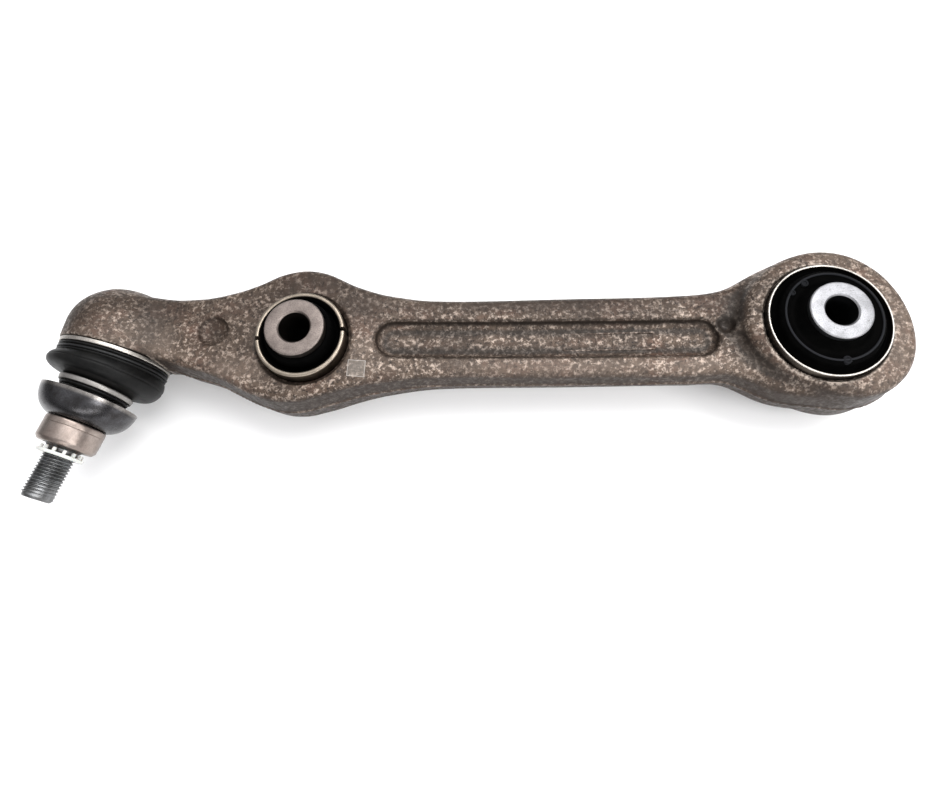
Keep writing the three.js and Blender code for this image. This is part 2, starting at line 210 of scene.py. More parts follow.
def forged_material():
    """Blasted and oxidised forging: dark brown skin, bright pits and flecks, worn edges."""
    n = Nodes("forged_aluminium")
    grain = n.noise(3.4, 4, 0.75)
    fleck = n.noise(2.1, 3, 0.7)
    speckle = n.noise(1.5, 3, 0.75, (1.1, 0.9, 1.0))
    patch = n.noise(26, 5, 0.65, distortion=0.6)
    blotch = n.noise(8, 4, 0.7)
    pink = n.noise(17, 4, 0.65, (0.8, 1.2, 1.0))

    # brown skin with reddish and dull patches
    base = n.ramp(
        blotch, (0.30, (0.040, 0.028, 0.021)), (0.52, (0.092, 0.069, 0.054)), (0.75, (0.165, 0.133, 0.111)),
    )
    base = n.mix(n.ramp(pink, (0.50, 0.0), (0.72, 0.7)), base, (0.155, 0.088, 0.068))
    base = n.mix(n.ramp(patch, (0.38, 0.6), (0.60, 0.0)), base, (0.052, 0.041, 0.035))

    # bright flecks and dark pits
    rough_skin = n.ramp(patch, (0.35, 0.30), (0.62, 1.0))
    light = n.math("MULTIPLY", n.ramp(fleck, (0.50, 0.0), (0.64, 0.85)), rough_skin)
    base = n.mix(light, base, (0.54, 0.47, 0.425))
    base = n.mix(n.ramp(grain, (0.36, 0.65), (0.50, 0.0)), base, (0.030, 0.022, 0.018))
    base = n.mix(n.ramp(speckle, (0.36, 0.95), (0.46, 0.0)), base, (0.016, 0.012, 0.010))

    # painted shade with some grime, painted light with some cleaner skin, worn edges, painted shade in the
    # hollows, darker along the parting seam
    # Painted shade with some grime: darker spots and the walls that face away from the key light.
    base = n.mix(n.ramp(n.attribute("painted_shade_and_grime"), (0.0, 0.0), (1.0, 0.90)), base, (0.020, 0.013, 0.009))
    # Painted light with some cleaner skin: lighter spots, on the large boss and the lower rim among others.
    base = n.mix(n.ramp(n.attribute("painted_light_and_clean"), (0.0, 0.0), (1.0, 0.32)), base, (0.33, 0.28, 0.25))
    edge = n.math("MULTIPLY", n.attribute("edge"), n.ramp(fleck, (0.36, 0.15), (0.58, 1.0)))
    base = n.mix(n.ramp(edge, (0.14, 0.0), (0.62, 0.75)), base, (0.50, 0.455, 0.42))
    # Painted shade: the hollows are darkened as occlusion would darken them.
    painted_hollow_shade = n.ramp(n.attribute("hollow"), (0.05, 0.0), (0.28, 0.78), (0.8, 0.95))
    base = n.mix(painted_hollow_shade, base, (0.012, 0.009, 0.007))
    base = n.mix(n.ramp(n.attribute("seam"), (0.15, 0.0), (0.8, 0.75)), base, (0.016, 0.012, 0.010))
    base = n.mix(1.0, base, (0.93, 0.86, 0.79), "MULTIPLY")

    border, inside = n.square(*ETCHED_SQUARE)
    base = n.mix(n.math("MULTIPLY", inside, 0.40), base, (0.20, 0.18, 0.16))
    base = n.mix(n.math("MULTIPLY", border, 0.60), base, (0.38, 0.355, 0.33))
    n.set(colour=base, metal=0.25, roughness=n.ramp(fleck, (0.35, 0.66), (0.65, 0.42)), specular=0.3)
    n.bump((blotch, 0.40, 0.6), (grain, 0.65, 0.30), (speckle, 0.6, 0.15))
    return n.material


def metal_material(name, light, dark, roughness, grain_mm=0.5, streak=(1, 1, 1), metal=1.0, bump=0.15,
                   spots=0.25, rim=None):
    """Bare or plated metal with fine tool marks, stains and small dark spots.

    rim is the colour where the piece's highlight and wear attribute is 1, which paints highlights on lips,
    end faces and rims, with some wear.
    """
    n = Nodes(name)
    stain = n.noise(6, 4, 0.6)
    fine = n.noise(grain_mm, 3, 0.7, stretch=streak)
    dots = n.noise(1.1, 2, 0.5)
    colour = n.mix(n.ramp(stain, (0.35, 0.0), (0.7, 1.0)), light, dark)
    if rim:
        # Highlight and wear: the colour turns to the rim colour where the attribute is set, mostly as a
        # painted highlight.
        painted_highlight_and_wear = n.math("MULTIPLY", n.attribute("painted_highlight_and_wear"), n.ramp(fine, (0.3, 0.75), (0.5, 1.0)))
        stained = n.mix(n.ramp(stain, (0.4, 0.0), (0.65, 1.0)), rim, tuple(c * 0.72 for c in rim))
        colour = n.mix(painted_highlight_and_wear, colour, stained)
    colour = n.mix(n.ramp(fine, (0.35, 0.28), (0.6, 0.0)), colour, tuple(c * 0.45 for c in dark))
    colour = n.mix(n.ramp(dots, (0.27, spots), (0.34, 0.0)), colour, (0.05, 0.045, 0.04))
    n.set(colour=colour, metal=metal, roughness=n.ramp(fine, (0.3, roughness + 0.12), (0.7, roughness)))
    n.bump((stain, 0.05, 0.2), (fine, bump, 0.06))
    return n.material


def rubber_material(name, shade, roughness, dust=0.10, shine=0.12):
    """Moulded rubber: nearly black, a faint bloom of dust and a fine matt skin."""
    n = Nodes(name)
    bloom = n.noise(5, 5, 0.65)
    skin = n.noise(0.35, 3, 0.6)
    colour = n.mix(n.ramp(bloom, (0.42, 0.0), (0.75, dust)), (shade,) * 3, (0.05, 0.046, 0.042))
    # Dust and a painted sheen: lighter where the highlight and wear attribute is set, on the ridge tops and
    # the pips.
    colour = n.mix(n.math("MULTIPLY", n.attribute("painted_highlight_and_wear"), 0.5), colour, (0.035, 0.036, 0.040))
    n.set(colour=colour, roughness=n.ramp(bloom, (0.3, roughness), (0.7, roughness + 0.16)), specular=shine)
    n.bump((bloom, 0.06, 0.3), (skin, 0.12, 0.05))
    return n.material


def plastic_material(name):
    n = Nodes(name)
    cloud = n.noise(3, 4, 0.6)
    scuff = n.noise(0.6, 3, 0.7)
    colour = n.mix(n.ramp(cloud, (0.3, 0.0), (0.75, 0.5)), (0.66, 0.655, 0.62), (0.45, 0.43, 0.38))
    colour = n.mix(n.ramp(scuff, (0.30, 0.5), (0.42, 0.0)), colour, (0.30, 0.28, 0.25))
    n.set(colour=colour, roughness=n.ramp(scuff, (0.3, 0.5), (0.7, 0.34)), glow=0.1)
    n.bump((scuff, 0.15, 0.08))
    return n.material


# Turned and plated metals: light and dark colour, roughness and what else differs.
METALS = {
    "bright_steel": ((0.10, 0.085, 0.07), (0.04, 0.034, 0.03), 0.34, dict(rim=(0.66, 0.62, 0.57))),
    "polished_steel": (
        (0.080, 0.079, 0.084), (0.036, 0.034, 0.034), 0.22,
        dict(grain_mm=0.8, bump=0.05, spots=0.1, rim=(0.50, 0.46, 0.42)),
    ),
    "gilt_steel": ((0.16, 0.13, 0.10), (0.07, 0.055, 0.042), 0.32, dict(rim=(0.34, 0.29, 0.235))),
    "grey_steel": ((0.36, 0.345, 0.33), (0.25, 0.235, 0.22), 0.42, dict(bump=0.2)),
    "clamp_steel": ((0.020, 0.020, 0.021), (0.012, 0.012, 0.012), 0.38, dict(metal=0.6)),
    "zinc_steel": ((0.24, 0.245, 0.25), (0.11, 0.108, 0.105), 0.34, dict(grain_mm=0.4)),
    "collar_steel": ((0.33, 0.28, 0.25), (0.20, 0.16, 0.14), 0.30, dict(grain_mm=1.2, streak=(1, 1, 4))),
    "sleeve_steel": (
        (0.035, 0.030, 0.027), (0.018, 0.015, 0.013), 0.44,
        dict(grain_mm=0.45, bump=0.3, spots=0.45, rim=(0.26, 0.22, 0.20)),
    ),
    "sleeve_aluminium": (
        (0.035, 0.035, 0.037), (0.018, 0.018, 0.019), 0.46,
        dict(grain_mm=0.4, bump=0.35, spots=0.6, rim=(0.39, 0.39, 0.405)),
    ),
}
LOOKS = {
    name: metal_material(name, light, dark, roughness, **rest)
    for name, (light, dark, roughness, rest) in METALS.items()
}
LOOKS |= {
    "forged_aluminium": forged_material(),
    "boot_rubber": rubber_material("boot_rubber", 0.004, 0.36),
    "bush_rubber": rubber_material("bush_rubber", 0.0008, 0.55, 0.02, 0.01),
    "white_plastic": plastic_material("white_plastic"),
    "seat_plastic": plastic_material("seat_plastic"),
}


# ---------------------------------------------------------------- mesh helpers
def finished(mesh, slot_name, smooth_below):
    """The object of a mesh, with its material, smooth below the given angle between faces."""
    made = bpy.data.objects.new(mesh.name, mesh)
    bpy.context.scene.collection.objects.link(made)
    mesh.materials.append(LOOKS[slot_name])
    mesh.shade_smooth()
    mesh.set_sharp_from_angle(angle=math.radians(smooth_below))
    return made


def mesh_object(name, vertices, faces, slot_name, smooth_below=38):
    mesh = bpy.data.meshes.new(name)
    mesh.from_pydata([tuple(v) for v in vertices], [], [tuple(int(i) for i in f) for f in faces])
    mesh.validate()
    mesh.update()
    return finished(mesh, slot_name, smooth_below)


def bmesh_object(name, shape, slot_name, smooth_below=40):
    mesh = bpy.data.meshes.new(name)
    shape.to_mesh(mesh)
    shape.free()
    return finished(mesh, slot_name, smooth_below)


def ball_frame(axis):
    """Puts a piece built on +Z round the origin on the given axis through the ball centre."""
    turn = Vector((0, 0, 1)).rotation_difference(axis).to_matrix().to_4x4()
    return Matrix.Translation(BALL_CENTRE) @ turn @ Matrix.Scale(MM, 4)


def bush_frame(axis):
    return Matrix.Translation(axis) @ Matrix.Scale(MM, 4)


STUD_FRAME = ball_frame(STUD_AXIS)
SOCKET_FRAME = ball_frame(SOCKET_AXIS)
LARGE_FRAME = bush_frame(LARGE_AXIS)
DAMPER_FRAME = bush_frame(DAMPER_AXIS)


def rounded(profile, pieces=5):
    """[radius, height, fillet] corners as points, each corner replaced by an arc."""
    points = []
    count = len(profile)
    for i, (r, h, fillet) in enumerate(profile):
        here = np.array([r, h], float)
        before = np.array(profile[i - 1][:2], float) - here
        after = np.array(profile[(i + 1) % count][:2], float) - here
        if fillet <= 0:
            points.append(here)
            continue
        reach = min(fillet, 0.45 * np.linalg.norm(before), 0.45 * np.linalg.norm(after))
        start = here + before / np.linalg.norm(before) * reach
        end = here + after / np.linalg.norm(after) * reach
        for k in range(pieces + 1):
            t = k / pieces
            points.append((1 - t) ** 2 * start + 2 * t * (1 - t) * here + t * t * end)
    return points


def turned(name, points, place, slot_name, around=128, radius_of=None, bend=None, tone=None):
    """A closed ring turned about the axis from [radius, height] points in mm.

    radius_of changes the radius round the turn, bend moves each point before it is placed and
    tone gives each point of the profile a value for the material's highlight and wear attribute, which
    lightens the colour there as a painted highlight with some wear.
    """
    points = [np.array(p, float) for p in points]
    area = sum(a[0] * b[1] - b[0] * a[1] for a, b in zip(points, points[1:] + points[:1]))
    if area < 0:
        points.reverse()
    count = len(points)
    vertices, faces = [], []
    for i in range(around):
        angle = 2 * math.pi * i / around
        for r, h in points:
            radius = radius_of(r, h, angle) if radius_of else r
            point = Vector((radius * math.cos(angle), radius * math.sin(angle), h))
            vertices.append(place @ (bend(point) if bend else point))
    for i in range(around):
        for j in range(count):
            k = (j + 1) % count
            a, b = i * count, (i + 1) % around * count
            faces.append((a + j, b + j, b + k, a + k))
    made = mesh_object(name, vertices, faces, slot_name)
    if tone:
        point_values(made, "painted_highlight_and_wear", [tone(r, h) for r, h in points] * around)
    return made


def point_values(made, name, values):
    layer = made.data.attributes.new(name, "FLOAT", "POINT")
    layer.data.foreach_set("value", np.asarray(values, np.float32))


# ---------------------------------------------------------------- forging
# The same edges and thickness as the solid part: [x, value] knots in mm.
UPPER_EDGE = [
    (-332, 24), (-318, 26), (-303, 25.1), (-286, 26.2), (-268, 31), (-255, 36.7),
    (-243, 38.5), (-232, 36.4), (-217, 29.2), (-203, 25), (-180, 21.8), (-120, 21.6),
    (-60, 21.8), (-42, 23.5), (-26, 30.6), (-16, 33.8), (-4, 35.5), (8, 35),
]
LOWER_EDGE = [
    (-332, -3), (-318, -6), (-303, -11.9), (-286, -17.4), (-268, -26.5), (-256, -31),
    (-245, -31.8), (-233, -29.2), (-217, -24.8), (-203, -22.4), (-180, -20.2), (-120, -21.1),
    (-60, -21.8), (-42, -22.2), (-26, -30.1), (-16, -33), (-4, -33.5), (8, -33),
]
HALF_THICKNESS = [
    (-332, 15.5), (-300, 15), (-262, 16), (-222, 16), (-203, 13.8), (-160, 11.8),
    (-100, 10.6), (-60, 10.2), (-26, 12), (8, 12),
]
# How far the large boss departs from a circle: cosine and sine parts of 1, 2 and 3 waves.
BOSS_RADIUS = 37.5
BOSS_WAVES = [(3.0, 1.6), (1.1, -1.6), (-1.3, -0.3)]
POCKET_DEPTH = 4.5
# Centre of the dimple beside the ball joint and of the small one beside the large boss: x, y.
DIMPLE = (-286.4, 5.5)
SMALL_DIMPLE = (-42.6, 3.0)
# The skin's grid: its cell and the corners of the box it covers.
CELL = 0.85
SKIN_BOX = ((-368, -44, -29), (43, 44, 29))


def smooth_curve(knots):
    """The solid part's curve through its knots, as a function of x."""
    x = np.array([k[0] for k in knots], float)
    y = np.array([k[1] for k in knots], float)
    wide_x = np.concatenate([x[:1], x, x[-1:]])
    wide_y = np.concatenate([y[:1], y, y[-1:]])
    slope = (wide_y[2:] - wide_y[:-2]) / (wide_x[2:] - wide_x[:-2])

    def value(at):
        at = np.clip(at, x[0], x[-1])
        i = np.clip(np.searchsorted(x, at, side="right") - 1, 0, len(x) - 2)
        span = x[i + 1] - x[i]
        t = (at - x[i]) / span
        rise = t * t * (3 - 2 * t)
        ease = t * (1 - t) * span
        return y[i] + (y[i + 1] - y[i]) * rise + ease * (slope[i] * (1 - t) - slope[i + 1] * t)

    return value


upper_edge = smooth_curve(UPPER_EDGE)
lower_edge = smooth_curve(LOWER_EDGE)
half_thickness = smooth_curve(HALF_THICKNESS)


def corner(a, b, r):
    """Where two half spaces meet, with a fillet of radius r on the outside edge."""
    u, v = a + r, b + r
    return np.minimum(np.maximum(u, v), 0) + np.hypot(np.maximum(u, 0), np.maximum(v, 0)) - r


def joined(a, b, k):
    """Union of two fields with a soft fillet of about k in the inside corner."""
    h = np.maximum(k - np.abs(a - b), 0) / k
    return np.minimum(a, b) - h * h * h * k / 6


def cut(a, tool, k):
    """The field a without the tool, with its edge softened by about k."""
    return -joined(-a, tool, k)


BALL = np.array((BALL_CENTRE - LARGE_AXIS) / MM)
AXIS = np.array(SOCKET_AXIS)
DAMPER_X = (DAMPER_AXIS.x - LARGE_AXIS.x) / MM


def recess(x, z, along, across, half_width, depth, draft, fillet):
    """A round-ended recess in both faces, with sloping walls and a filleted floor."""
    height = np.abs(z) - half_thickness(x) + depth
    side = np.hypot(np.maximum(along, 0), across) - half_width + draft * (depth - height)
    return corner(side, -height, fillet)


def parting_seam(z):
    """The thin ridge that the forging dies leave round the middle plane."""
    return 0.55 * np.exp(-((z / 0.75) ** 2))


def beam_field(x, y, z):
    """The beam between its two edges, drafted, with filleted rims."""
    draft, fillet, left, right = 1.6, 4.2, -332, 6
    half = half_thickness(x)
    slope_top = (upper_edge(x + 1) - upper_edge(x - 1)) / 2
    slope_bottom = (lower_edge(x + 1) - lower_edge(x - 1)) / 2
    above = (y - upper_edge(x)) / np.hypot(1, slope_top)
    below = (lower_edge(x) - y) / np.hypot(1, slope_bottom)
    side = np.maximum(above, below) + draft * np.abs(z) / half - parting_seam(z)
    return np.maximum(corner(side, np.abs(z) - half, fillet), np.maximum(left - x, x - right))


def boss_field(x, y, z):
    """The boss of the large bush."""
    half, draft, fillet = 18.5, 1.2, 4.6
    angle = np.arctan2(y, x)
    outline = BOSS_RADIUS
    for k, (cosine, sine) in enumerate(BOSS_WAVES, 1):
        outline = outline + cosine * np.cos(k * angle) + sine * np.sin(k * angle)
    side = np.hypot(x, y) - outline + draft * np.abs(z) / half - parting_seam(z)
    return corner(side, np.abs(z) - half, fillet)


def web_field(x, y, z):
    """A short round web that climbs from the end of the pocket to the boss."""
    middle_x, middle_y, reach, height, radius = -35, 0.5, 4, 11.2, 2.4
    away = np.hypot(np.maximum(np.abs(x - middle_x) - reach, 0), y - middle_y)
    return np.hypot(away, np.abs(z) - height) - radius


def pocket_field(x, y, z):
    """The long pocket, whose middle line drops a little towards the large boss."""
    left, right, half_width, draft, fillet = -208.0, -45.4, 9.4, 0.32, 2.6
    centre = -0.3 - 2.1 * (x - left) / (right - left)
    along = np.abs(x - (left + right) / 2) - (right - left) / 2 + half_width
    return recess(x, z, along, y - centre, half_width, POCKET_DEPTH, draft, fillet)


def dimple_field(x, y, z):
    """The flat-floored dimple beside the ball joint."""
    radius, depth, draft, fillet = 7.9, 3.8, 0.6, 2.6
    return recess(x, z, np.abs(x - DIMPLE[0]), y - DIMPLE[1], radius, depth, draft, fillet)


def small_dimple_field(x, y, z):
    """The ball-shaped dimple beside the large boss."""
    radius, height = 3.8, 12.4
    across = (x - SMALL_DIMPLE[0]) ** 2 + (y - SMALL_DIMPLE[1]) ** 2
    return np.sqrt(across + (np.abs(z) - height) ** 2) - radius


def from_ball(x, y, z):
    """Distance along the socket's axis and away from it."""
    px, py, pz = x - BALL[0], y - BALL[1], z - BALL[2]
    along = px * AXIS[0] + py * AXIS[1] + pz * AXIS[2]
    return along, np.sqrt(np.maximum(px * px + py * py + pz * pz - along * along, 0))


def with_socket(solid, x, y, z):
    """Adds the round housing of the ball joint and clears the room under its foot."""
    radius, dome_height, foot_at, taper, clear_radius, root_fillet = 26.2, 25.2, 9, 0.3, 27.5, 12
    along, away = from_ball(x, y, z)
    dome = np.hypot(away * dome_height / radius, np.minimum(along, 0)) - dome_height
    dome = dome + taper * np.clip(along / foot_at, 0, 1)
    housing = corner(dome, along - foot_at, 0.7)
    under_foot = np.maximum(foot_at - along, away - clear_radius)
    return cut(joined(solid, housing, root_fillet), under_foot, 0.6)


def with_bores(solid, x, y, z):
    """Machines the two bush bores, their mouths and the ball joint's cavity."""
    large_bore, mouth_radius, mouth_at = 27.7, 28.6, 17.4
    damper_bore, spot_radius, spot_at, spot_slope = 21.5, 23.75, 14.4, 0.9
    cavity_radius, counterbore_radius, counterbore_at = 17.2, 20.6, 3.9
    large = np.hypot(x, y)
    damper = np.hypot(x - DAMPER_X, y)
    along, away = from_ball(x, y, z)
    spot_floor = spot_at - np.abs(z) + spot_slope * (damper - damper_bore - 0.1)
    tools = (
        large - large_bore,
        np.maximum(large - mouth_radius, mouth_at - np.abs(z)),
        damper - damper_bore,
        np.maximum(damper - spot_radius, spot_floor),
        np.hypot(away, np.minimum(along, 0)) - cavity_radius,
        np.maximum(away - counterbore_radius, counterbore_at - along),
    )
    for tool in tools:
        solid = cut(solid, tool, 0.3)
    return solid


def forging_field(x, y, z):
    """Signed distance to the forging, in mm, negative inside."""
    solid = joined(joined(beam_field(x, y, z), web_field(x, y, z), 3), boss_field(x, y, z), 9)
    solid = with_socket(solid, x, y, z)
    solid = cut(solid, pocket_field(x, y, z), 2.2)
    solid = cut(solid, dimple_field(x, y, z), 1.2)
    solid = cut(solid, small_dimple_field(x, y, z), 2.5)
    return with_bores(solid, x, y, z)


# Where the skin is painted darker, as painted shade with some oil, and where it is painted lighter, as
# painted light with some cleaner skin: x, y, two radii and strength.
SHADE_AND_GRIME_SPOTS = (
    (-140, 17, 70, 6, 0.95), (-345, 8, 26, 22, 0.35), (-254, 4, 11, 24, 0.80),
    (-236, 30, 26, 8, 0.6), (-216, 16, 14, 14, 0.45),
    (*DIMPLE, 7.5, 7.5, 0.75), (-42, 4, 9, 9, 0.5),
    (-352, 12, 12, 14, 0.45), (-310, 20, 20, 8, 0.4), (-34, 16, 14, 10, 0.45), (-30, -14, 14, 12, 0.4),
    (-180, -2, 20, 6, 0.35), (-90, 10, 40, 3, 0.3), (-12, -33, 16, 6, 0.4),
)
# Painted light with some cleaner skin: lighter spots on the large boss and the lower rim among others.
LIGHT_AND_CLEAN_SPOTS = (
    (34, 0, 12, 30, 0.5), (10, 33, 26, 8, 0.25), (22, -26, 14, 12, 0.35), (-312, -2, 9, 9, 0.8),
    (-275, -16, 16, 8, 0.55), (-120, -16, 75, 5, 0.5), (-212, -4, 8, 8, 0.4), (-332, 2, 16, 8, 0.35),
    (-160, 19, 40, 3, 0.25), (-55, -17, 14, 5, 0.45),
)


def neighbours(axis):
    """Index of every grid point but the last along an axis, and of the point after each."""
    here, after = [slice(None)] * 3, [slice(None)] * 3
    here[axis], after[axis] = slice(0, -1), slice(1, None)
    return tuple(here), tuple(after)


def surface_net(field, low, high, cell):
    """Vertices and quads of the field's zero surface on a regular grid."""
    axes = [np.arange(a, b + cell, cell) for a, b in zip(low, high)]
    values = np.empty([len(a) for a in axes], np.float32)
    for i, x in enumerate(axes[0]):
        values[i] = field(x + np.zeros((1, 1)), axes[1][:, None], axes[2][None, :])
    inside = values < 0
    shape = np.array(values.shape) - 1
    total = np.zeros((*shape, 3))
    count = np.zeros(shape)
    for axis in range(3):
        here, after = neighbours(axis)
        crossed = inside[here] != inside[after]
        fall = values[here] - values[after]
        t = np.where(crossed, values[here] / np.where(crossed, fall, 1), 0)
        others = [k for k in range(3) if k != axis]
        for du in (0, 1):
            for dv in (0, 1):
                pick = [slice(None)] * 3
                pick[others[0]] = slice(du, du + shape[others[0]])
                pick[others[1]] = slice(dv, dv + shape[others[1]])
                hit = crossed[tuple(pick)]
                count += hit
                total[..., axis] += np.where(hit, t[tuple(pick)], 0)
                total[..., others[0]] += hit * du
                total[..., others[1]] += hit * dv
    used = count > 0
    index = -np.ones(used.shape, int)
    index[used] = np.arange(used.sum())
    corners = np.argwhere(used)
    offsets = total[used] / count[used][:, None]
    vertices = np.array([a[0] for a in axes]) + (corners + offsets) * cell
    faces = []
    for axis in range(3):
        u, v = (axis + 1) % 3, (axis + 2) % 3
        here, after = neighbours(axis)
        change = inside[here].astype(int) - inside[after].astype(int)
        for sign in (1, -1):
            cells = np.argwhere(change == sign)
            keep = (cells[:, u] > 0) & (cells[:, v] > 0)
            keep &= (cells[:, u] < shape[u]) & (cells[:, v] < shape[v])
            cells = cells[keep]
            quad = []
            for du, dv in ((-1, -1), (0, -1), (0, 0), (-1, 0)):
                at = cells.copy()
                at[:, u] += du
                at[:, v] += dv
                quad.append(index[at[:, 0], at[:, 1], at[:, 2]])
            quad = np.stack(quad, 1)
            faces.append(quad if sign > 0 else quad[:, ::-1])
    return vertices, np.concatenate(faces)


def field_slope(field, points, step=0.15):
    slope = np.empty_like(points)
    for axis in range(3):
        shift = np.zeros(3)
        shift[axis] = step
        slope[:, axis] = (field(*(points + shift).T) - field(*(points - shift).T)) / (2 * step)
    return slope


def soft_spots(spots, points):
    """Sum of soft round spots at each point."""
    total = 0
    for x, y, radius_x, radius_y, strength in spots:
        far = ((points[:, 0] - x) / radius_x) ** 2 + ((points[:, 1] - y) / radius_y) ** 2
        total = total + strength * np.exp(-far)
    return total


def skin_values(points, normal):
    """Where the skin is hollow, sharp or at the parting seam, how much it is painted darker as painted
    shade with some grime, and how much lighter as painted light with some cleaner skin, from 0 to 1.
    """
    def room(reach):
        """How much of the space at this distance off the surface is filled."""
        return np.clip(1 - forging_field(*(points + normal * reach).T) / reach, 0, 1)

    near = 1.6
    upright = np.abs(normal[:, 2])
    wall = np.clip(1.15 - upright * 1.5, 0, 1)
    on_side = np.clip(1 - upright * 2, 0, 1)
    facing_down = normal[:, 1] < 0.2
    return {
        # hollow sets the painted shade in the hollows.
        "hollow": np.clip(0.75 * room(3.0) + 0.9 * room(10.0), 0, 1),
        "edge": np.clip(1 + forging_field(*(points - normal * near).T) / near, 0, 1),
        "seam": on_side * np.exp(-((np.abs(points[:, 2]) - 1.3) / 0.55) ** 2),
        # Painted shade with some grime: soft dark spots, and the walls that face away from the key light.
        "painted_shade_and_grime": np.clip(soft_spots(SHADE_AND_GRIME_SPOTS, points) + wall * facing_down, 0, 1),
        # Painted light with some cleaner skin: soft light spots, kept off the walls.
        "painted_light_and_clean": np.clip(soft_spots(LIGHT_AND_CLEAN_SPOTS, points) * (1 - wall), 0, 1),
    }


def die_waviness(points):
    """The forging dies' slight waviness, in mm, with the machined faces left true."""
    height, large_land, damper_land, socket_land = 0.09, 29.5, 24.5, 21.5
    x, y, z = points.T
    wave = np.sin(x / 4.1 + 1.3 * np.sin(y / 5.3)) * np.sin(y / 3.7 + np.sin(z / 4.9))
    wave = wave * np.cos(z / 5.1 + x / 9.0)
    rough = (np.hypot(x, y) > large_land) & (np.hypot(x - DAMPER_X, y) > damper_land)
    rough &= np.linalg.norm(points - BALL, axis=1) > socket_land
    return height * wave * rough


def make_forging():
    """The skin: a surface net drawn onto the field's zero surface in three steps, then made wavy."""
    points, faces = surface_net(forging_field, *SKIN_BOX, CELL)
    for _ in range(3):
        slope = field_slope(forging_field, points)
        steep = np.maximum((slope ** 2).sum(1), 0.2)
        move = -forging_field(*points.T)[:, None] * slope / steep[:, None]
        points += np.clip(move, -CELL / 2, CELL / 2)
    slope = field_slope(forging_field, points, 0.3)
    normal = slope / np.maximum(np.linalg.norm(slope, axis=1), 1e-6)[:, None]
    values = skin_values(points, normal)
    points = points + normal * die_waviness(points)[:, None]
    world = points * MM + np.array(LARGE_AXIS)
    made = mesh_object("forging_skin", world, faces, "forged_aluminium", 50)
    for name, at_points in values.items():
        point_values(made, name, at_points)
    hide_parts("arm_forging")
    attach(made, "arm")


make_forging()


# ---------------------------------------------------------------- blank raised field
def raised_lines():
    """An empty frame with dividers, raised on the floor of the upper pocket."""
    left, right, half_height, line, proud = -118.0, -75.0, 4.2, 0.74, 0.32
    dividers = (7.5, 15.5, 23.5)
    middle_x, middle_y, overlap = (left + right) / 2, -1.9, 0.24
    wide, tall = right - left + overlap, 2 * half_height + overlap
    bars = [(middle_x, middle_y + side * half_height, wide, line) for side in (-1, 1)]
    bars += [(x, middle_y, line, tall) for x in (left, *(left + d for d in dividers), right)]
    shape = bmesh.new()
    for x, y, length, height in bars:
        floor_at = float(half_thickness(np.array(x))) - POCKET_DEPTH
        place = Matrix.Translation((x, y, floor_at)) @ Matrix.Diagonal((length, height, 2 * proud, 1))
        bmesh.ops.create_cube(shape, size=1, matrix=place)
    bmesh.ops.bevel(shape, geom=shape.edges[:], offset=0.16, segments=2, affect="EDGES")
    bmesh.ops.transform(shape, matrix=LARGE_FRAME, verts=shape.verts)
    made = bmesh_object("blank_field", shape, "forged_aluminium")
    # Even skin values for the lines; the shade-and-grime value of 0.3 darkens them a little.
    for name, value in (("hollow", 0.05), ("edge", 0.16), ("seam", 0.0), ("painted_shade_and_grime", 0.3), ("painted_light_and_clean", 0.0)):
        point_values(made, name, np.full(len(made.data.vertices), value))
    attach(made, "arm")


raised_lines()


# ---------------------------------------------------------------- bushes
def sleeve(name, node, body, place, bore, outer, half, slot_name):
    """Inner sleeve with a chamfered bore and broken outer edges: a painted highlight on its end faces, the
    bore and sides left dark as painted shade.
    """
    chamfer, edge = 0.7, 0.45
    profile = [
        (bore, half - chamfer, 0.1), (bore + chamfer, half, 0.1),
        (outer - edge, half, 0.3), (outer, half - edge, 0.3),
        (outer, edge - half, 0.3), (outer - edge, -half, 0.3),
        (bore + chamfer, -half, 0.1), (bore, chamfer - half, 0.1),
    ]
    made = turned(name, rounded(profile, 3), place, slot_name,
                  tone=lambda r, h: 1.0 if abs(h) > half - 0.68 and r < outer else 0.0)
    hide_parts(node)
    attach(made, body)


def mirrored(half):
    """A profile's upper half, from outside to inside, closed by its mirror image below."""
    return half + [(r, -h, fillet) for r, h, fillet in reversed(half)]


# Round moulding marks on the rubber: angle, distance from the axis and radius.
PIPS = ((122, 19.4, 1.7), (144, 20.2, 1.3), (-86, 20.9, 1.9))


